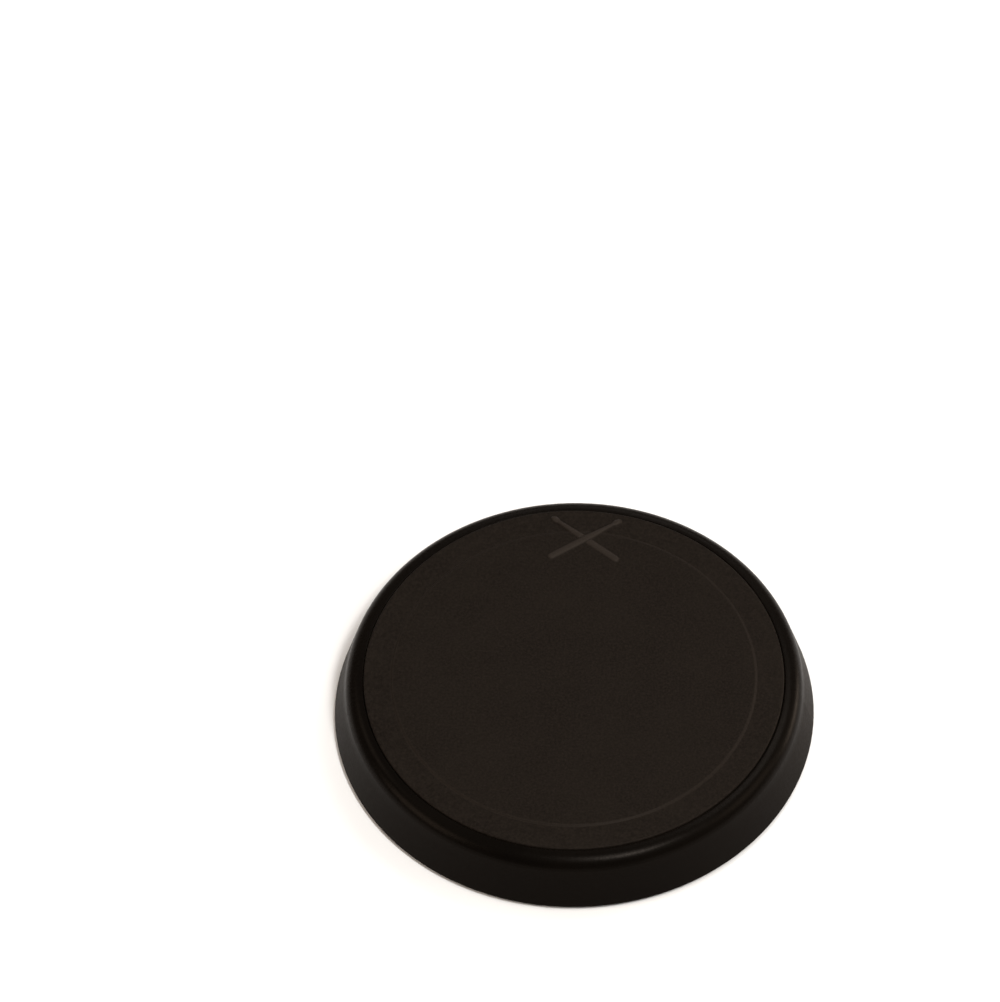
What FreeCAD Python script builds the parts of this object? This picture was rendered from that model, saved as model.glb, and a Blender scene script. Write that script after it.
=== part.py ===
"""Round moulded practice pad of the 8 inch class: a rubber striking head on foam and board, let into a
plastic housing with a round shoulder, closed underneath by a screwed cover, with push-in feet and a bush
for an 8 mm stand rod. Row frame: millimetres, +Z up, origin on the resting plane under the centre of the
pad, +Y towards the moulded emblem. One STEP is written for each separate piece."""

import FreeCAD
import Part
import math
import os

Vector = FreeCAD.Vector
UP = Vector(0, 0, 1)
ORIGIN = Vector(0, 0, 0)

# ---- driving dimensions ----
HEAD_RADIUS = 97.2           # striking head
BASE_RADIUS = 111.0          # foot of the sloping skirt
BODY_HEIGHT = 28.0           # skirt's lower edge to the head's flat margin
FOOT_STAND = 1.5             # feet below the skirt's lower edge

# striking head
FACE_THICKNESS = 5.0
HEAD_EDGE = 0.8              # rounded upper edge
PLAY_RADIUS = 84.4           # middle of the step round the raised playing zone
PLAY_RAISE = 0.6
STEP_WIDTH = 1.0

# emblem: two crossed drumsticks
EMBLEM_Y = 80.2
EMBLEM_RELIEF = 0.7          # above the playing zone
STICK_LENGTH = 40.0
STICK_TILT = 36.0            # degrees from the X axis
STICK_BUTT = 3.1             # widths along the stick
STICK_NECK = 1.5
STICK_TIP = 2.7
TIP_LENGTH = 4.6
TAPER_START = 0.52           # share of the length where the taper begins

# layers under the head
FOAM_THICKNESS = 4.0
BOARD_THICKNESS = 5.0
LAYER_GAP = 0.4              # radial room round the head, the foam and the board

# housing
DECK_THICKNESS = 3.0
CROWN_DROP = 0.9             # housing's crown below the head's margin
CORNER_RADIUS = 104.2        # where the skirt's line would meet the crown's level
SHOULDER_ROUND = 7.8
SKIRT_THICKNESS = 3.0
RIM_THICKNESS = 3.0          # wall round the recess for the head and the layers
POCKET_DEPTH = 10.5          # hollow between rim and skirt, above the deck's underside
POCKET_ROUND = 0.8
LEDGE_WIDTH = 2.5            # ledge that the cover's edge lies on
LEDGE_THICKNESS = 1.6
FOOT_ROUND = 1.2             # skirt's lower edge
RIB_COUNT = 12
RIB_THICKNESS = 1.8
RIB_GAP = 0.6                # ribs stop above the cover
RING_RIB_RADIUS = 55.0

# bottom cover, its screws and feet
COVER_RADIUS = 106.0
COVER_THICKNESS = 2.5
COVER_RECESS = 0.5           # cover's face above the skirt's lower edge
COVER_GAP = 0.3
SCREW_COUNT = 6
SCREW_CIRCLE = 88.0
BOSS_RADIUS = 4.4
FOOT_COUNT = 6
FOOT_CIRCLE = 92.0
FOOT_RADIUS = 8.0
STEM_RADIUS = 2.6
BARB_RADIUS = 3.4

# centre bush with its M8 stand thread
BUSH_FLANGE_RADIUS = 19.0
BUSH_FLANGE = 2.5
BUSH_BARREL_RADIUS = 7.0
THREAD_RADIUS = 3.4          # tapping drill of M8
HUB_RADIUS = 21.0
BUSH_SCREW_COUNT = 3
BUSH_SCREW_CIRCLE = 13.2

# self-tapping screws: shank radius, head radius, head height, length under the head
COVER_SCREW = (1.45, 2.8, 1.5, 8.0)
BUSH_SCREW = (1.45, 2.7, 1.5, 7.0)
PILOT_RADIUS = 1.45
CROSS_SPAN = 3.0             # cross recess, arm to arm
CROSS_WIDTH = 0.75
CROSS_DEPTH = 1.1

# ---- levels, upwards from the resting plane ----
skirt_z = FOOT_STAND
margin_z = skirt_z + BODY_HEIGHT
play_z = margin_z + PLAY_RAISE
foam_top = margin_z - FACE_THICKNESS
board_top = foam_top - FOAM_THICKNESS
deck_top = board_top - BOARD_THICKNESS
deck_under = deck_top - DECK_THICKNESS
crown_z = margin_z - CROWN_DROP
cover_under = skirt_z + COVER_RECESS
cover_top = cover_under + COVER_THICKNESS

pocket_top = deck_under + POCKET_DEPTH
foot_z = skirt_z + FOOT_ROUND

recess_radius = HEAD_RADIUS + LAYER_GAP
pocket_inner = recess_radius + RIM_THICKNESS
seat_radius = COVER_RADIUS + COVER_GAP


def skirt_radius(z):
    """Outer radius of the straight part of the skirt at a level."""
    return BASE_RADIUS - (BASE_RADIUS - CORNER_RADIUS) * (z - foot_z) / (crown_z - foot_z)


# ---- helpers ----
def outline(corners):
    """Closed wire in the XZ plane from (radius, z, round) corners; a round above 0 is a tangent arc."""
    count = len(corners)
    starts, ends, middles = [], [], []
    for i, (r, z, fillet) in enumerate(corners):
        corner = Vector(r, 0, z)
        if fillet <= 0:
            starts.append(corner)
            ends.append(corner)
            middles.append(None)
            continue
        before = corners[i - 1]
        after = corners[(i + 1) % count]
        to_before = (Vector(before[0], 0, before[1]) - corner).normalize()
        to_after = (Vector(after[0], 0, after[1]) - corner).normalize()
        half = to_before.getAngle(to_after) / 2
        inward = (to_before + to_after).normalize()
        reach = fillet / math.tan(half)
        starts.append(corner + to_before * reach)
        ends.append(corner + to_after * reach)
        middles.append(corner + inward * (fillet / math.sin(half) - fillet))
    edges = []
    for i in range(count):
        if middles[i] is not None:
            edges.append(Part.Arc(starts[i], middles[i], ends[i]).toShape())
        following = starts[(i + 1) % count]
        if (following - ends[i]).Length > 1e-6:
            edges.append(Part.LineSegment(ends[i], following).toShape())
    return Part.Wire(edges)


def turned(corners):
    """Solid of revolution about Z."""
    return Part.Face(outline(corners)).revolve(ORIGIN, UP, 360)


def upright(radius, low, high, x=0.0, y=0.0):
    """Upright cylinder between two levels."""
    return Part.makeCylinder(radius, high - low, Vector(x, y, low), UP)


def slab(x0, x1, y0, y1, z0, z1):
    """Box between two corners."""
    return Part.makeBox(x1 - x0, y1 - y0, z1 - z0, Vector(x0, y0, z0))


def turned_by(shape, degrees):
    """Copy of a shape, turned about the pad's axis."""
    copy = shape.copy()
    copy.rotate(ORIGIN, UP, degrees)
    return copy


def round_places(count, first=0.0):
    """Angles in degrees of equally spaced places."""
    return [first + 360.0 * i / count for i in range(count)]


def on_circle(radius, degrees):
    angle = math.radians(degrees)
    return radius * math.cos(angle), radius * math.sin(angle)


# ---- emblem ----
def drumstick():
    """Flat drumstick outline along X, butt at the left and an oval tip at the right."""
    half = STICK_LENGTH / 2
    taper_x = -half + STICK_LENGTH * TAPER_START
    neck_x = half - TIP_LENGTH
    tip_middle = neck_x + TIP_LENGTH / 2
    butt, neck, tip = STICK_BUTT / 2, STICK_NECK / 2, STICK_TIP / 2
    butt_left = Vector(-half + butt, butt, 0)
    butt_right = Vector(-half + butt, -butt, 0)
    edges = [
        Part.Arc(butt_left, Vector(-half, 0, 0), butt_right).toShape(),
        Part.LineSegment(butt_right, Vector(taper_x, -butt, 0)).toShape(),
        Part.LineSegment(Vector(taper_x, -butt, 0), Vector(neck_x, -neck, 0)).toShape(),
        Part.Arc(Vector(neck_x, -neck, 0), Vector(tip_middle, -tip, 0), Vector(half, 0, 0)).toShape(),
        Part.Arc(Vector(half, 0, 0), Vector(tip_middle, tip, 0), Vector(neck_x, neck, 0)).toShape(),
        Part.LineSegment(Vector(neck_x, neck, 0), Vector(taper_x, butt, 0)).toShape(),
        Part.LineSegment(Vector(taper_x, butt, 0), butt_left).toShape(),
    ]
    return Part.Face(Part.Wire(edges))


def emblem():
    """Two crossed sticks in relief, tips towards the rim."""
    low = margin_z - 1.0
    high = play_z + EMBLEM_RELIEF
    sticks = []
    for mirror in (False, True):
        stick = drumstick().extrude(Vector(0, 0, high - low))
        stick.rotate(ORIGIN, UP, 180 - STICK_TILT if mirror else STICK_TILT)
        stick.translate(Vector(0, EMBLEM_Y, low))
        sticks.append(stick)
    return sticks[0].fuse(sticks[1]).removeSplitter()


# ---- pieces ----
def striking_head():
    """Rubber disc let into the housing: raised playing zone, flat margin and the emblem."""
    disc = turned([
        (0, play_z, 0),
        (PLAY_RADIUS - STEP_WIDTH / 2, play_z, 0.9),
        (PLAY_RADIUS + STEP_WIDTH / 2, margin_z, 0.5),
        (HEAD_RADIUS, margin_z, HEAD_EDGE),
        (HEAD_RADIUS, foam_top, 0.3),
        (0, foam_top, 0),
    ])
    return disc.fuse(emblem()).removeSplitter()


def layer(low, high, edge):
    """Flat disc in the deck's recess, its edges eased."""
    radius = recess_radius - LAYER_GAP
    return turned([(0, low, 0), (radius, low, edge), (radius, high, edge), (0, high, 0)])


def housing_shell():
    """Deck, recess for the head and its layers, round shoulder, sloping skirt and the cover's seat."""
    ledge_top = cover_top + LEDGE_THICKNESS
    return turned([
        (0, deck_under, 0),
        (0, deck_top, 0),
        (recess_radius, deck_top, 0.4),
        (recess_radius, crown_z, 0.4),
        (CORNER_RADIUS, crown_z, SHOULDER_ROUND),
        (BASE_RADIUS, foot_z, FOOT_ROUND),
        (BASE_RADIUS - FOOT_ROUND, skirt_z, 0.5),
        (seat_radius, skirt_z, 0.4),
        (seat_radius, cover_top, 0),
        (seat_radius - LEDGE_WIDTH, cover_top, 0),
        (seat_radius - LEDGE_WIDTH, ledge_top, 0.4),
        (skirt_radius(ledge_top) - SKIRT_THICKNESS, ledge_top, 0),
        (skirt_radius(pocket_top) - SKIRT_THICKNESS, pocket_top, POCKET_ROUND),
        (pocket_inner, pocket_top, POCKET_ROUND),
        (pocket_inner, deck_under, 0.6),
    ])


def radial_rib(low):
    """Upright rib from the hub to the skirt, reaching up into the pocket under the shoulder."""
    half_skin = SKIRT_THICKNESS / 2
    root = deck_under + 1.0
    crown = pocket_top + 1.0
    side = Part.makePolygon([
        Vector(HUB_RADIUS - 2, -RIB_THICKNESS / 2, low),
        Vector(skirt_radius(low) - half_skin, -RIB_THICKNESS / 2, low),
        Vector(skirt_radius(crown) - half_skin, -RIB_THICKNESS / 2, crown),
        Vector(pocket_inner - 1, -RIB_THICKNESS / 2, crown),
        Vector(pocket_inner - 1, -RIB_THICKNESS / 2, root),
        Vector(HUB_RADIUS - 2, -RIB_THICKNESS / 2, root),
        Vector(HUB_RADIUS - 2, -RIB_THICKNESS / 2, low),
    ])
    return Part.Face(side).extrude(Vector(0, RIB_THICKNESS, 0))


def housing_ribs():
    """Radial ribs, one ring rib, the screw bosses and the hub under the deck."""
    low = cover_top + RIB_GAP
    root = deck_under + 1.0
    parts = [turned_by(radial_rib(low), a) for a in round_places(RIB_COUNT, 15.0)]
    ring = upright(RING_RIB_RADIUS + RIB_THICKNESS, low, root)
    parts.append(ring.cut(upright(RING_RIB_RADIUS, low - 1, root + 1)))
    for angle in round_places(SCREW_COUNT, 30.0):
        x, y = on_circle(SCREW_CIRCLE, angle)
        parts.append(upright(BOSS_RADIUS, cover_top, root, x, y))
    parts.append(upright(HUB_RADIUS, cover_top, root))
    return parts


def housing():
    """One moulding: shell, ribs, bosses and hub, bored for the bush and its screws."""
    body = housing_shell().multiFuse(housing_ribs()).removeSplitter()
    holes = [upright(BUSH_BARREL_RADIUS, 0, deck_top + 1)]
    for angle in round_places(SCREW_COUNT, 30.0):
        x, y = on_circle(SCREW_CIRCLE, angle)
        holes.append(upright(PILOT_RADIUS, 0, screw_end(COVER_SCREW, cover_under) + 0.6, x, y))
    for angle in round_places(BUSH_SCREW_COUNT, 90.0):
        x, y = on_circle(BUSH_SCREW_CIRCLE, angle)
        holes.append(upright(PILOT_RADIUS, 0, screw_end(BUSH_SCREW, cover_under) + 0.6, x, y))
    return body.cut(Part.makeCompound(holes))


def screw_end(sizes, face_z):
    """Level of the tip of a screw whose head lies level with a face."""
    return face_z + sizes[2] + sizes[3]


def bottom_cover():
    """Flat disc under the housing, with seats for the screws and holes for the feet and the bush."""
    plate = turned([
        (0, cover_under, 0),
        (COVER_RADIUS, cover_under, 0.5),
        (COVER_RADIUS, cover_top, 0.3),
        (0, cover_top, 0),
    ])
    cuts = [upright(BUSH_FLANGE_RADIUS + COVER_GAP, cover_under - 1, cover_top + 1)]
    shank, head, height = COVER_SCREW[:3]
    for angle in round_places(SCREW_COUNT, 30.0):
        x, y = on_circle(SCREW_CIRCLE, angle)
        cuts.append(upright(shank + 0.15, cover_under - 1, cover_top + 1, x, y))
        cuts.append(upright(head + 0.3, cover_under - 1, cover_under + height, x, y))
    for angle in round_places(FOOT_COUNT):
        x, y = on_circle(FOOT_CIRCLE, angle)
        cuts.append(upright(STEM_RADIUS, cover_under - 1, cover_top + 1, x, y))
    return plate.cut(Part.makeCompound(cuts))


def thread_bush():
    """Flanged steel bush: the flange lies in the cover's centre, the barrel stands up through the deck."""
    top = deck_top - 0.2
    flange_top = cover_under + BUSH_FLANGE
    body = turned([
        (THREAD_RADIUS + 0.6, cover_under, 0),
        (BUSH_FLANGE_RADIUS, cover_under, 0.4),
        (BUSH_FLANGE_RADIUS, flange_top, 0),
        (BUSH_BARREL_RADIUS, flange_top, 0),
        (BUSH_BARREL_RADIUS, top, 0.5),
        (THREAD_RADIUS + 0.6, top, 0),
        (THREAD_RADIUS, top - 0.6, 0),
        (THREAD_RADIUS, cover_under + 0.6, 0),
    ])
    shank, head, height = BUSH_SCREW[:3]
    seats = []
    for angle in round_places(BUSH_SCREW_COUNT, 90.0):
        x, y = on_circle(BUSH_SCREW_CIRCLE, angle)
        seats.append(upright(shank + 0.15, cover_under - 1, flange_top + 1, x, y))
        seats.append(upright(head + 0.15, cover_under - 1, cover_under + height, x, y))
    return body.cut(Part.makeCompound(seats))


def screw(sizes, x, y, face_z):
    """Self-tapping screw, head down and level with a face, with a cross recess and a tapered end."""
    shank, head, height, length = sizes
    under = face_z + height
    body = turned([
        (0, face_z, 0),
        (head, face_z, 0.5),
        (head, under, 0),
        (shank, under, 0),
        (shank, under + length - 1.6, 0),
        (0.3, under + length, 0),
        (0, under + length, 0),
    ])
    arm = CROSS_SPAN / 2
    half = CROSS_WIDTH / 2
    cross = slab(-arm, arm, -half, half, face_z - 1, face_z + CROSS_DEPTH)
    body = body.cut(cross.fuse(turned_by(cross, 90)))
    body.translate(Vector(x, y, 0))
    return body


def foot(x, y):
    """Push-in rubber foot: a disc with a ringed sole, a stem through the cover and a barb above it."""
    body = turned([
        (0, 0, 0),
        (FOOT_RADIUS - 0.4, 0, 0.5),
        (FOOT_RADIUS, cover_under, 0),
        (STEM_RADIUS, cover_under, 0),
        (STEM_RADIUS, cover_top, 0),
        (BARB_RADIUS, cover_top, 0.3),
        (STEM_RADIUS - 0.7, cover_top + 3.2, 0.4),
        (0, cover_top + 3.2, 0),
    ])
    grooves = []
    for radius in (2.4, 4.8):
        ring = upright(radius + 0.5, -1, 0.4)
        grooves.append(ring.cut(upright(radius - 0.5, -2, 1)))
    body = body.cut(Part.makeCompound(grooves))
    body.translate(Vector(x, y, 0))
    return body


def all_pieces():
    """Every separate piece by node name."""
    pieces = {
        "striking_head": striking_head(),
        "rebound_foam": layer(board_top, foam_top, 0.5),
        "impact_board": layer(deck_top, board_top, 0.3),
        "housing": housing(),
        "bottom_cover": bottom_cover(),
        "thread_bush": thread_bush(),
    }
    for i, angle in enumerate(round_places(BUSH_SCREW_COUNT, 90.0), 1):
        x, y = on_circle(BUSH_SCREW_CIRCLE, angle)
        pieces[f"bush_screw_{i}"] = screw(BUSH_SCREW, x, y, cover_under)
    for i, angle in enumerate(round_places(SCREW_COUNT, 30.0), 1):
        x, y = on_circle(SCREW_CIRCLE, angle)
        pieces[f"cover_screw_{i}"] = screw(COVER_SCREW, x, y, cover_under)
    for i, angle in enumerate(round_places(FOOT_COUNT), 1):
        x, y = on_circle(FOOT_CIRCLE, angle)
        pieces[f"foot_{i}"] = foot(x, y)
    return pieces


def main():
    os.makedirs("parts", exist_ok=True)
    for name, shape in all_pieces().items():
        if len(shape.Solids) != 1 or not shape.isValid():
            raise ValueError(f"{name} is not one valid solid")
        shape.exportStep(f"parts/{name}.step")
        print(f"{name}: {shape.Volume / 1000:.2f} cm3")


main()
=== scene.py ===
"""Looks of the round practice pad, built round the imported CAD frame. Metres, row frame."""

import math

import bmesh
import bpy
from mathutils import Matrix, Vector

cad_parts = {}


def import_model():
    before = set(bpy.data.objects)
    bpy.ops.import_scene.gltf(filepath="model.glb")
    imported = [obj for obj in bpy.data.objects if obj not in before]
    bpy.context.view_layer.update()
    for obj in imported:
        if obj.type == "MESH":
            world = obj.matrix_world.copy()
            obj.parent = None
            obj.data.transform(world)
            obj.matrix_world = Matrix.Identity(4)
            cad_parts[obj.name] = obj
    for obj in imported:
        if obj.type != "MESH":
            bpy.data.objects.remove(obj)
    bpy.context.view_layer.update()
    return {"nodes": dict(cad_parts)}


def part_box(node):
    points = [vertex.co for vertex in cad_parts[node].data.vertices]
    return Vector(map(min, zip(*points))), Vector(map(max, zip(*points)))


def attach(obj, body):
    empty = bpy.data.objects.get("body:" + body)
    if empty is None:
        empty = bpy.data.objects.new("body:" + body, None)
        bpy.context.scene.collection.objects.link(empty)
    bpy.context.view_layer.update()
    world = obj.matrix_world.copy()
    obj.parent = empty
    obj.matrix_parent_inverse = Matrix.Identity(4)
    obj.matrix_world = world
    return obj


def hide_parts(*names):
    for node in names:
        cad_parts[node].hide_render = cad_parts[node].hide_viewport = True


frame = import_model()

MM = 0.001                               # outlines are given in mm

# ------------------------------------------------------------------ sizes of the head
head_low, head_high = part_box("striking_head")
foam_low, foam_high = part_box("rebound_foam")

HEAD_RADIUS = (head_high.x - head_low.x) / 2 / MM
FOAM_TOP = foam_high.z / MM              # underside of the head
MARGIN_Z = FOAM_TOP + 5.0                # flat margin round the playing zone
PLAY_Z = MARGIN_Z + 0.6                  # raised playing zone
PLAY_RADIUS = 84.4
HEAD_EDGE = 0.8                          # rounded upper edge of the head
PAINTED_STEP_HIGHLIGHT = 0.30                        # painted highlight on the playing zone's edge: lightens its colour and lowers its roughness

# crossed drumsticks, in relief near the far edge
EMBLEM_Y = 80.2
EMBLEM_TOP = head_high.z / MM
EMBLEM_REACH = (20, 16)                  # half of the space it takes, across and along Y
STICK_HALF = 20.0
STICK_TILT = math.radians(36.0)
STICK_BUTT = 1.6                         # half widths of a stick
STICK_NECK = 0.85
STICK_TIP = 1.45
TIP_HALF = 2.5                           # half the tip's length

# close mesh under the emblem, coarse mesh elsewhere
COARSE_RINGS = (6, 14, 23, 32, 41, 50, 58, 63)
CLOSE_RINGS = (64.5, 95.8)               # radii between which the rings lie close
RING_STEP = 0.26
CLOSE_HALF = math.radians(15.5)          # half of the turn in which the directions lie close
CLOSE_COUNT = 156                        # steps of direction in that turn
WIDE_COUNT = 224                         # steps in the rest of the round

# rubber feet, with rings cut into the sole
FOOT_RADIUS = 8.0
SOLE_RADIUS = 7.5
SOLE_RINGS = (2.4, 4.8)
RING_DEPTH = 0.4
FOOT_HEIGHT = 2.0
STEM_RADIUS = 2.6
STEM_TOP = 4.5
BARB_RADIUS = 3.4
BARB_TIP = 1.9

# tints and light
WARM = (1.0, 0.86, 0.74, 1.0)            # of the highlights on the black pieces
DUSTY = (1.0, 0.66, 0.45, 1.0)           # of the faint sheen on the black plastic
GLOW = (1.0, 0.84, 0.70)                 # of the lamps at the sides
WHITE = (1.0, 1.0, 1.0)
WORLD_LIGHT = 0.15                       # strength of the surroundings as a source of light
WORLD_SEEN = 0.93                        # strength of the surroundings as seen behind the floor
CENTRE = (0.0, 0.0, 0.02)                # the place the lamps aim at


# ------------------------------------------------------------------ node helpers
class Nodes:
    """Small wrapper that adds and links shader nodes."""

    def __init__(self, material):
        material.use_nodes = True
        self.tree = material.node_tree
        self.tree.nodes.clear()
        self.out = self.add("ShaderNodeOutputMaterial")
        self.bsdf = self.add("ShaderNodeBsdfPrincipled")
        self.link(self.bsdf.outputs["BSDF"], self.out.inputs["Surface"])
        self.coords = self.add("ShaderNodeTexCoord").outputs["Object"]

    def add(self, kind, **values):
        node = self.tree.nodes.new(kind)
        for key, value in values.items():
            setattr(node, key, value)
        return node

    def link(self, source, target):
        self.tree.links.new(source, target)

    def noise(self, scale, detail=4.0, roughness=0.6, vector=None, distortion=0.0):
        node = self.add("ShaderNodeTexNoise")
        node.inputs["Scale"].default_value = scale
        node.inputs["Detail"].default_value = detail
        node.inputs["Roughness"].default_value = roughness
        node.inputs["Distortion"].default_value = distortion
        self.link(vector or self.coords, node.inputs["Vector"])
        return node.outputs["Fac"]

    def voronoi(self, scale, feature="F1"):
        node = self.add("ShaderNodeTexVoronoi", feature=feature)
        node.inputs["Scale"].default_value = scale
        self.link(self.coords, node.inputs["Vector"])
        return node.outputs["Distance"]

    def spokes(self, scale):
        """Noise that changes only round the Z axis, so it runs out from the centre."""
        flat = self.add("ShaderNodeVectorMath", operation="MULTIPLY")
        self.link(self.coords, flat.inputs[0])
        flat.inputs[1].default_value = (1.0, 1.0, 0.0)
        outward = self.add("ShaderNodeVectorMath", operation="NORMALIZE")
        self.link(flat.outputs["Vector"], outward.inputs[0])
        return self.noise(scale, 3.0, 0.6, outward.outputs["Vector"])

    def spread(self, value, low, high, from_low=0.0, from_high=1.0):
        """Maps a value from one range to another, held at the ends."""
        node = self.add("ShaderNodeMapRange")
        self.link(value, node.inputs["Value"])
        node.inputs["From Min"].default_value = from_low
        node.inputs["From Max"].default_value = from_high
        node.inputs["To Min"].default_value = low
        node.inputs["To Max"].default_value = high
        return node.outputs["Result"]

    def maths(self, operation, a, b):
        node = self.add("ShaderNodeMath", operation=operation)
        for socket, value in zip(node.inputs, (a, b)):
            if isinstance(value, (int, float)):
                socket.default_value = value
            else:
                self.link(value, socket)
        return node.outputs["Value"]

    def mix(self, factor, a, b):
        """Blend from colour a to colour b, each a socket or three numbers."""
        node = self.add("ShaderNodeMix", data_type="RGBA")
        self.link(factor, node.inputs["Factor"])
        for name, value in (("A", a), ("B", b)):
            socket = [s for s in node.inputs if s.name == name and s.type == "RGBA"][0]
            if isinstance(value, tuple):
                socket.default_value = (*value, 1.0)
            else:
                self.link(value, socket)
        return [s for s in node.outputs if s.type == "RGBA"][0]

    def bump(self, height, strength, distance, normal=None):
        node = self.add("ShaderNodeBump")
        node.inputs["Strength"].default_value = strength
        node.inputs["Distance"].default_value = distance
        self.link(height, node.inputs["Height"])
        if normal is not None:
            self.link(normal, node.inputs["Normal"])
        return node.outputs["Normal"]

    def attribute(self, name):
        return self.add("ShaderNodeAttribute", attribute_name=name).outputs["Fac"]

    def edge_wear(self, low, high):
        """0 on flat and hollow places, 1 on convex edges."""
        geometry = self.add("ShaderNodeNewGeometry")
        return self.spread(geometry.outputs["Pointiness"], 0.0, 1.0, low, high)

    def blotches(self, value, dark, light):
        """Colour that wanders between two tones with a noise."""
        return self.mix(self.spread(value, 0.0, 1.0, 0.3, 0.7), dark, light)

    def finish(self, color, roughness=None, normal=None, **values):
        """Links what varies over the piece and sets what doesn't."""
        for name, value in values.items():
            self.bsdf.inputs[name.replace("_", " ")].default_value = value
        self.link(color, self.bsdf.inputs["Base Color"])
        if roughness is not None:
            self.link(roughness, self.bsdf.inputs["Roughness"])
        if normal is not None:
            self.link(normal, self.bsdf.inputs["Normal"])


def head_rubber():
    """Warm black moulded rubber: fine grain, faint mottling, a smoother emblem, and a painted highlight
    along the playing zone's edge.
    """
    material = bpy.data.materials.new("head_rubber")
    n = Nodes(material)
    emblem = n.attribute("emblem")
    mottle = n.noise(38.0, 5.0, 0.65)
    speck = n.noise(900.0, 3.0, 0.7)
    base = n.blotches(mottle, (0.0050, 0.0036, 0.0026), (0.0072, 0.0054, 0.0040))
    base = n.mix(n.spread(speck, 0.0, 0.8, 0.38, 0.72), base, (0.0147, 0.0111, 0.0086))
    # lighter colour on the emblem; on the playing zone's edge the same lightening is a painted highlight
    base = n.mix(n.maths("MULTIPLY", emblem, 0.8), base, (0.0230, 0.0180, 0.0145))
    rough = n.spread(mottle, 0.50, 0.60, 0.3, 0.7)
    rough = n.maths("ADD", rough, n.spread(speck, -0.09, 0.09, 0.35, 0.65))
    rough = n.maths("SUBTRACT", rough, n.maths("MULTIPLY", emblem, 0.14))
    grain = n.voronoi(1500.0, "SMOOTH_F1")
    fine = n.noise(2600.0, 2.0, 0.6)
    height = n.maths("ADD", grain, n.maths("MULTIPLY", fine, 0.6))
    calm = n.maths("SUBTRACT", 1.0, n.maths("MULTIPLY", emblem, 0.75))
    normal = n.bump(n.maths("MULTIPLY", height, calm), 0.55, 0.00006)
    normal = n.bump(n.maths("MULTIPLY", n.noise(620.0, 3.0, 0.6), calm), 0.6, 0.0003, normal)
    n.finish(base, rough, normal, IOR=1.13, Specular_Tint=WARM)
    return material


def moulded_plastic(name, dark, light, roughness, grain_scale, grain_depth, streaked=False):
    """Satin black moulding with faint flow marks and slightly polished edges.

    A streaked one is duller on its lower part and has fine draw marks that run out from the axis.
    """
    material = bpy.data.materials.new(name)
    n = Nodes(material)
    flow = n.noise(14.0, 4.0, 0.55, distortion=0.6)
    fine = n.noise(grain_scale, 3.0, 0.6)
    wear = n.edge_wear(0.52, 0.60)
    base = n.blotches(flow, dark, light)
    base = n.mix(n.maths("MULTIPLY", wear, 0.35), base, tuple(3.0 * c for c in light))
    rough = n.spread(flow, *roughness, 0.3, 0.7)
    rough = n.maths("ADD", rough, n.spread(fine, -0.04, 0.04, 0.3, 0.7))
    normal = n.bump(fine, 0.35, grain_depth)
    if streaked:
        height = n.add("ShaderNodeSeparateXYZ")
        n.link(n.coords, height.inputs["Vector"])
        rough = n.maths("ADD", rough, n.spread(height.outputs["Z"], 0.20, 0.0, 0.018, 0.024))
        normal = n.bump(n.spokes(170.0), 0.35, 0.00010, normal)
    n.finish(base, rough, normal, IOR=1.11, Specular_Tint=WARM,
             Sheen_Weight=0.018, Sheen_Roughness=0.5, Sheen_Tint=DUSTY)
    return material


def steel(name, tint, roughness):
    """Zinc plating: cloudy, with fine turning marks."""
    material = bpy.data.materials.new(name)
    n = Nodes(material)
    cloud = n.noise(260.0, 4.0, 0.6)
    marks = n.noise(2400.0, 2.0, 0.7)
    base = n.blotches(cloud, tint, tuple(1.25 * c for c in tint))
    rough = n.spread(cloud, *roughness, 0.3, 0.7)
    n.finish(base, rough, n.bump(marks, 0.25, 0.00004), Metallic=1.0)
    return material


def foot_rubber():
    """Matt black rubber with a fine pebbled grain."""
    material = bpy.data.materials.new("foot_rubber")
    n = Nodes(material)
    cloud = n.noise(180.0, 4.0, 0.6)
    grain = n.voronoi(1800.0)
    base = n.blotches(cloud, (0.010, 0.0095, 0.009), (0.018, 0.017, 0.016))
    rough = n.spread(cloud, 0.62, 0.75, 0.3, 0.7)
    n.finish(base, rough, n.bump(grain, 0.4, 0.00006), IOR=1.35)
    return material


def foam_cells():
    """Closed-cell foam: cut cells of mixed size."""
    material = bpy.data.materials.new("foam_cells")
    n = Nodes(material)
    cells = n.voronoi(900.0)
    large = n.voronoi(420.0)
    base = n.mix(n.spread(cells, 0.0, 1.0, 0.1, 0.6), (0.028, 0.028, 0.030), (0.075, 0.075, 0.078))
    height = n.maths("ADD", cells, n.maths("MULTIPLY", large, 0.7))
    rough = n.spread(n.noise(200.0), 0.80, 0.95)
    n.finish(base, rough, n.bump(height, 0.8, 0.0003), IOR=1.4)
    return material


def hardboard():
    """Pressed wood fibre."""
    material = bpy.data.materials.new("hardboard")
    n = Nodes(material)
    mapping = n.add("ShaderNodeMapping")
    mapping.inputs["Scale"].default_value = (1.0, 3.5, 6.0)
    n.link(n.coords, mapping.inputs["Vector"])
    fibre = n.noise(700.0, 6.0, 0.75, mapping.outputs["Vector"], 1.2)
    patch = n.noise(45.0, 4.0, 0.6)
    base = n.blotches(fibre, (0.13, 0.075, 0.038), (0.33, 0.21, 0.115))
    base = n.mix(n.spread(patch, 0.0, 0.4, 0.35, 0.7), base, (0.20, 0.12, 0.06))
    rough = n.spread(fibre, 0.68, 0.85, 0.3, 0.7)
    n.finish(base, rough, n.bump(fibre, 0.5, 0.00012))
    return material


def pale_floor():
    """Almost white, matt, with a very faint cloudiness."""
    material = bpy.data.materials.new("pale_floor")
    n = Nodes(material)
    base = n.mix(n.spread(n.noise(1.5, 2.0), 0.0, 1.0), (0.87, 0.86, 0.845), (0.89, 0.88, 0.865))
    n.finish(base, Roughness=0.9, IOR=1.1)
    return material


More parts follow.
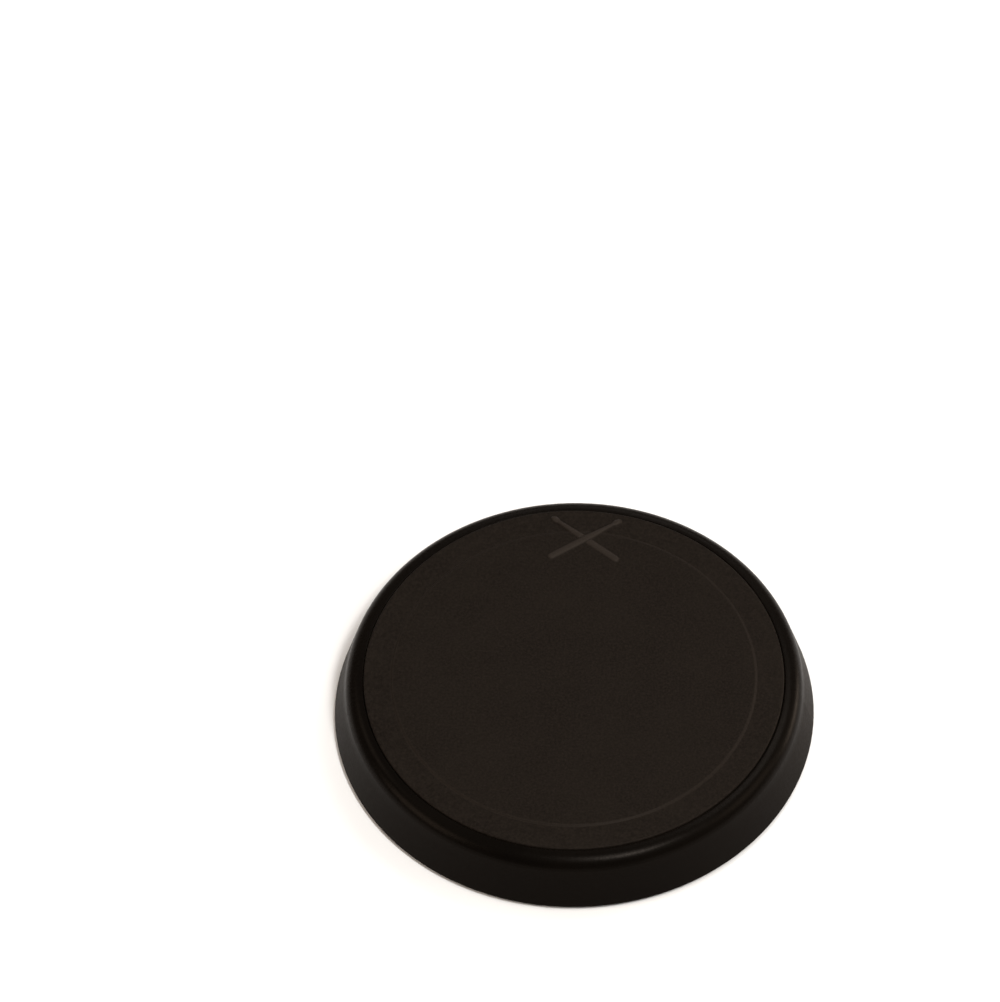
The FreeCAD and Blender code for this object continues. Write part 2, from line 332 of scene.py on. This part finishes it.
# ------------------------------------------------------------------ turned shapes
def rounded(corners, steps):
    """(radius, z, round) corners in mm to a polyline with tangent arcs."""
    points = []
    last = len(corners) - 1
    for i, (r, z, fillet) in enumerate(corners):
        corner = Vector((r, z))
        if fillet <= 0 or i in (0, last):
            points.append(corner)
            continue
        before = (Vector(corners[i - 1][:2]) - corner).normalized()
        after = (Vector(corners[i + 1][:2]) - corner).normalized()
        half = before.angle(after) / 2
        reach = fillet / math.tan(half)
        centre = corner + (before + after).normalized() * (fillet / math.sin(half))
        start = corner + before * reach - centre
        end = corner + after * reach - centre
        a0 = math.atan2(start.y, start.x)
        turn = (math.atan2(end.y, end.x) - a0 + math.pi) % (2 * math.pi) - math.pi
        for k in range(steps + 1):
            a = a0 + turn * k / steps
            points.append(centre + Vector((math.cos(a), math.sin(a))) * fillet)
    return points


def new_object(name, mesh, material):
    """Smooth-shaded object with one material, linked into the scene."""
    piece = bpy.data.objects.new(name, mesh)
    bpy.context.scene.collection.objects.link(piece)
    mesh.materials.append(material)
    for polygon in mesh.polygons:
        polygon.use_smooth = True
    return piece


def skin(build, first, second):
    """Faces between two closed rings, or a ring and a point."""
    if len(first) == 1 and len(second) == 1:
        return
    count = max(len(first), len(second))
    for k in range(count):
        j = (k + 1) % count
        if len(first) == 1:
            build.faces.new((first[0], second[k], second[j]))
        elif len(second) == 1:
            build.faces.new((first[k], second[0], first[j]))
        else:
            build.faces.new((first[k], second[k], second[j], first[j]))


def lathe(name, points, material, segments, centre=(0.0, 0.0)):
    """Closed solid of revolution from a polyline that starts and ends on the axis."""
    build = bmesh.new()
    rings = []
    for p in points:
        if p.x < 1e-6:
            rings.append([build.verts.new((centre[0] * MM, centre[1] * MM, p.y * MM))])
            continue
        ring = []
        for k in range(segments):
            a = 2 * math.pi * k / segments
            x = centre[0] + p.x * math.cos(a)
            y = centre[1] + p.x * math.sin(a)
            ring.append(build.verts.new((x * MM, y * MM, p.y * MM)))
        rings.append(ring)
    for inner, outer in zip(rings, rings[1:]):
        skin(build, inner, outer)
    bmesh.ops.recalc_face_normals(build, faces=build.faces)
    mesh = bpy.data.meshes.new(name)
    build.to_mesh(mesh)
    build.free()
    return new_object(name, mesh, material)


# ------------------------------------------------------------------ the head
def smooth_step(t):
    """Rises from 0 to 1 without a kink at either end."""
    t = min(1.0, max(0.0, t))
    return t * t * (3 - 2 * t)


def stick_distance(x, y):
    """Signed distance in mm to a drumstick's outline, butt at -X and tip at +X; negative inside."""
    taper_x = -STICK_HALF + 2 * STICK_HALF * 0.52
    neck_x = STICK_HALF - 2 * TIP_HALF
    shaft_end = neck_x + 1.0
    if x < -STICK_HALF + STICK_BUTT:
        shaft = math.hypot(x + STICK_HALF - STICK_BUTT, y) - STICK_BUTT
    elif x < taper_x:
        shaft = abs(y) - STICK_BUTT
    elif x < shaft_end:
        shaft = abs(y) - (STICK_BUTT + (STICK_NECK - STICK_BUTT) * (x - taper_x) / (neck_x - taper_x))
    else:
        shaft = math.hypot(x - shaft_end, y) - STICK_NECK * 0.9
    oval = (math.hypot((x - STICK_HALF + TIP_HALF) / TIP_HALF, y / STICK_TIP) - 1.0) * STICK_TIP
    return min(shaft, oval)


def relief(distance):
    """Share of the relief's height: a soft slope at the outline, then a crown that is 1 mm wide."""
    outside, inside = 0.25, -0.12
    shoulder = 0.42
    if distance >= outside:
        return 0.0
    if distance > inside:
        return shoulder * smooth_step((outside - distance) / (outside - inside))
    return shoulder + (1.0 - shoulder) * math.sin(min(1.0, inside - distance) * math.pi / 2)


def emblem_height(x, y):
    """Relief share of the crossed sticks at a point of the face, in mm from the pad's axis.

    The stick underneath stops just short of the one on top.
    """
    y -= EMBLEM_Y
    if abs(x) > EMBLEM_REACH[0] or abs(y) > EMBLEM_REACH[1]:
        return 0.0
    c, s = math.cos(STICK_TILT), math.sin(STICK_TILT)
    over = stick_distance(c * x + s * y, -s * x + c * y)
    under = stick_distance(-c * x + s * y, -s * x - c * y)
    gap = smooth_step((over - 0.15) / 0.35)
    return max(relief(over), relief(under) * gap)


def head_points():
    """Outline of the head from the centre of its face, over the edge and back under the face."""
    return rounded([
        (0, PLAY_Z, 0),
        (PLAY_RADIUS - 0.5, PLAY_Z, 0.75),
        (PLAY_RADIUS + 0.35, MARGIN_Z, 0.35),
        (HEAD_RADIUS, MARGIN_Z, HEAD_EDGE),
        (HEAD_RADIUS, FOAM_TOP, 0.3),
        (0, FOAM_TOP, 0),
    ], 9)


def filled(points, low, high, step):
    """The same polyline with points added every step where its radius is between two values."""
    result = [points[0]]
    for a, b in zip(points, points[1:]):
        if b.x > a.x and b.x > low and a.x < high and (b - a).length > step:
            start = max(a.x, low)
            end = min(b.x, high)
            count = int((end - start) / step)
            for k in range(count + 1):
                r = start + (end - start) * k / max(1, count)
                if a.x + 1e-6 < r < b.x - 1e-6:
                    result.append(a.lerp(b, (r - a.x) / (b.x - a.x)))
        result.append(b)
    return result


def face_profile():
    """Head outline with coarse rings on the open face and close rings across the emblem."""
    points = head_points()
    coarse = [points[0]] + [Vector((r, PLAY_Z)) for r in COARSE_RINGS] + points[1:]
    return filled(coarse, *CLOSE_RINGS, RING_STEP)


def head_angles():
    """Directions round the head: close together across the emblem, which is at +Y."""
    start = math.pi / 2 - CLOSE_HALF
    end = math.pi / 2 + CLOSE_HALF
    rest = 2 * math.pi - 2 * CLOSE_HALF
    close = [start + 2 * CLOSE_HALF * k / CLOSE_COUNT for k in range(CLOSE_COUNT + 1)]
    wide = [end + rest * k / WIDE_COUNT for k in range(1, WIDE_COUNT)]
    return close + wide


def on_step(point):
    """Whether a point of the outline lies on the rounded step between the playing zone and the margin."""
    return PLAY_RADIUS - 0.75 < point.x < PLAY_RADIUS + 0.5


def rubber_head(material):
    """The rubber disc; its emblem attribute marks what is smoother and lighter than the grained face: the
    emblem, and the playing zone's edge, where the lightening is a painted highlight.
    """
    points = face_profile()
    angles = head_angles()
    build = bmesh.new()
    marks = build.verts.layers.float.new("emblem")
    rings = []
    for p in points:
        on_top = p.y > MARGIN_Z - HEAD_EDGE
        # the playing zone's edge is marked for a painted highlight
        step_highlight = PAINTED_STEP_HIGHLIGHT if on_step(p) else 0.0
        if p.x < 1e-6:
            rings.append([build.verts.new((0, 0, p.y * MM))])
            continue
        ring = []
        for a in angles:
            x = p.x * math.cos(a)
            y = p.x * math.sin(a)
            share = emblem_height(x, y) if on_top else 0.0
            ground = p.y + (PLAY_Z - p.y) * min(1.0, share * 2.5)
            z = ground + share * (EMBLEM_TOP - PLAY_Z)
            vert = build.verts.new((x * MM, y * MM, z * MM))
            vert[marks] = max(min(1.0, share * 1.6), step_highlight)
            ring.append(vert)
        rings.append(ring)
    for first, second in zip(rings, rings[1:]):
        skin(build, first, second)
    bmesh.ops.recalc_face_normals(build, faces=build.faces)
    mesh = bpy.data.meshes.new("rubber_head")
    build.to_mesh(mesh)
    build.free()
    return new_object("rubber_head", mesh, material)


# ------------------------------------------------------------------ soft pieces underneath
def foot_points():
    """Rubber foot: ringed sole, slightly bulged side, stem and barb."""
    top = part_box("foot_1")[1].z / MM
    corners = [(0, 0.0, 0)]
    for ring in SOLE_RINGS:
        corners += [
            (ring - 0.5, 0.0, 0.15),
            (ring - 0.3, RING_DEPTH, 0.15),
            (ring + 0.3, RING_DEPTH, 0.15),
            (ring + 0.5, 0.0, 0.15),
        ]
    corners += [
        (SOLE_RADIUS, 0.0, 0.6),
        (FOOT_RADIUS, FOOT_HEIGHT / 2, 0.9),
        (FOOT_RADIUS - 0.15, FOOT_HEIGHT - 0.03, 0.15),
        (STEM_RADIUS, FOOT_HEIGHT, 0),
        (STEM_RADIUS, STEM_TOP, 0),
        (BARB_RADIUS, STEM_TOP, 0.3),
        (BARB_TIP, top, 0.4),
        (0, top, 0),
    ]
    return rounded(corners, 4)


def rubber_feet(material):
    """Six feet, each in the place of its CAD node."""
    points = foot_points()
    for i in range(1, 7):
        lo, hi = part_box(f"foot_{i}")
        centre = ((lo.x + hi.x) / 2 / MM, (lo.y + hi.y) / 2 / MM)
        piece = lathe(f"rubber_foot_{i}", points, material, 72, centre)
        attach(piece, "root")
        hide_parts(f"foot_{i}")


def foam_layer(material):
    """Foam disc whose side bulges a little at mid height."""
    radius = (foam_high.x - foam_low.x) / 2 / MM
    low = foam_low.z / MM
    high = foam_high.z / MM
    middle = (low + high) / 2
    piece = lathe("foam_layer", rounded([
        (0, low, 0),
        (radius * 0.5, low, 0),
        (radius - 0.25, low, 0.5),
        (radius, middle, 2.0),
        (radius - 0.25, high, 0.5),
        (radius * 0.5, high, 0),
        (0, high, 0),
    ], 6), material, 160)
    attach(piece, "root")
    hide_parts("rebound_foam")


def dress_node(name, material):
    """A carried-over CAD node keeps its mesh and takes a material."""
    node = frame["nodes"][name]
    node.data.materials.clear()
    node.data.materials.append(material)
    for polygon in node.data.polygons:
        polygon.material_index = 0


# ------------------------------------------------------------------ build the pieces
head = rubber_head(head_rubber())
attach(head, "root")
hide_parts("striking_head")
rubber_feet(foot_rubber())
foam_layer(foam_cells())
dress_node("impact_board", hardboard())
dress_node("housing", moulded_plastic(
    "housing_plastic",
    dark=(0.0016, 0.0012, 0.0009),
    light=(0.0024, 0.0018, 0.0013),
    roughness=(0.25, 0.31),
    grain_scale=620.0,
    grain_depth=0.00006,
    streaked=True,
))
dress_node("bottom_cover", moulded_plastic(
    "cover_plastic",
    dark=(0.0075, 0.007, 0.0065),
    light=(0.011, 0.0103, 0.0096),
    roughness=(0.52, 0.62),
    grain_scale=900.0,
    grain_depth=0.0001,
))
dress_node("thread_bush", steel("bush_zinc", (0.50, 0.50, 0.48), (0.28, 0.42)))
screw_steel = steel("screw_zinc", (0.30, 0.30, 0.31), (0.30, 0.45))
for i in range(1, 4):
    dress_node(f"bush_screw_{i}", screw_steel)
for i in range(1, 7):
    dress_node(f"cover_screw_{i}", screw_steel)


# ------------------------------------------------------------------ stage, light and camera
def floor():
    """Round floor, wide enough to fill every view."""
    mesh = bpy.data.meshes.new("floor")
    build = bmesh.new()
    bmesh.ops.create_circle(build, cap_ends=True, segments=96, radius=14.0)
    build.to_mesh(mesh)
    build.free()
    piece = new_object("floor", mesh, pale_floor())


def area_light(name, place, width, height, power, color=WHITE):
    """Softbox that aims at the pad and isn't seen by the camera."""
    light = bpy.data.lights.new(name, "AREA")
    light.shape = "RECTANGLE"
    light.size = width
    light.size_y = height
    light.energy = power
    light.color = color
    lamp = bpy.data.objects.new(name, light)
    lamp.location = place
    lamp.rotation_mode = "QUATERNION"
    lamp.rotation_quaternion = (Vector(CENTRE) - Vector(place)).to_track_quat("-Z", "Y")
    lamp.visible_camera = False
    bpy.context.scene.collection.objects.link(lamp)


def around(azimuth, elevation, distance):
    """Place seen from the pad's centre, azimuth in degrees from +X towards +Y."""
    a = math.radians(azimuth)
    e = math.radians(elevation)
    level = distance * math.cos(e)
    return (level * math.cos(a), level * math.sin(a), distance * math.sin(e))


def sun_light(name, azimuth, elevation, spread, strength):
    """Even light from far away, softened over a spread given in degrees."""
    light = bpy.data.lights.new(name, "SUN")
    light.angle = math.radians(spread)
    light.energy = strength
    lamp = bpy.data.objects.new(name, light)
    lamp.rotation_mode = "QUATERNION"
    lamp.rotation_quaternion = (-Vector(around(azimuth, elevation, 1.0))).to_track_quat("-Z", "Y")
    bpy.context.scene.collection.objects.link(lamp)


def camera():
    """Long lens from the front and above, turned a little to the right of the emblem's axis."""
    tilt = math.radians(53.01)
    roll = math.radians(-1.01)
    turn = math.radians(4.64)
    distance = 8.769
    aim = Vector((-0.03266, 0.12432, 0.0015))
    forward = Vector((0, math.cos(tilt), -math.sin(tilt)))
    right = Vector((1, 0, 0))
    up = right.cross(forward)
    across = right * math.cos(roll) + up * math.sin(roll)
    upward = up * math.cos(roll) - right * math.sin(roll)
    pose = Matrix((across, upward, -forward)).transposed().to_4x4()
    pose.translation = aim - forward * distance
    data = bpy.data.cameras.new("camera")
    data.sensor_width = 36.0
    data.lens = 674.7
    data.clip_start = 0.1
    data.clip_end = 60.0
    view = bpy.data.objects.new("camera", data)
    view.matrix_world = Matrix.Rotation(turn, 4, "Z") @ pose
    bpy.context.scene.collection.objects.link(view)
    bpy.context.scene.camera = view


def world():
    """Pale to the camera, dim as a source of light."""
    scene_world = bpy.data.worlds.new("world")
    scene_world.use_nodes = True
    tree = scene_world.node_tree
    background = tree.nodes["Background"]
    background.inputs["Color"].default_value = (1.0, 0.995, 0.985, 1.0)
    path = tree.nodes.new("ShaderNodeLightPath")
    level = tree.nodes.new("ShaderNodeMapRange")
    level.inputs["To Min"].default_value = WORLD_LIGHT
    level.inputs["To Max"].default_value = WORLD_SEEN
    tree.links.new(path.outputs["Is Camera Ray"], level.inputs["Value"])
    tree.links.new(level.outputs["Result"], background.inputs["Strength"])
    bpy.context.scene.world = scene_world


floor()
world()
# the key and the strip make the streak on the shoulder, the lamps at the sides light its flanks
sun_light("key", -51, 63, 9, 1.20)
sun_light("sky", 20, 70, 120, 0.60)
area_light("strip", around(-60, 63, 1.6), 0.14, 0.8, 9.0)
area_light("right", around(-2, 36, 2.0), 0.9, 0.9, 8.0, GLOW)
area_light("left", around(-156, 30, 2.0), 1.1, 0.9, 14.0, GLOW)
area_light("left_high", around(152, 46, 2.0), 0.6, 0.6, 3.0, GLOW)
area_light("low_right", around(28, 8, 2.0), 0.7, 0.5, 13.5, GLOW)
area_light("back", around(90, 28, 2.0), 0.9, 0.5, 2.8)
area_light("back_right", around(50, 58, 0.9), 0.3, 0.3, 1.6)
camera()
bpy.context.scene.view_settings.view_transform = "Standard"
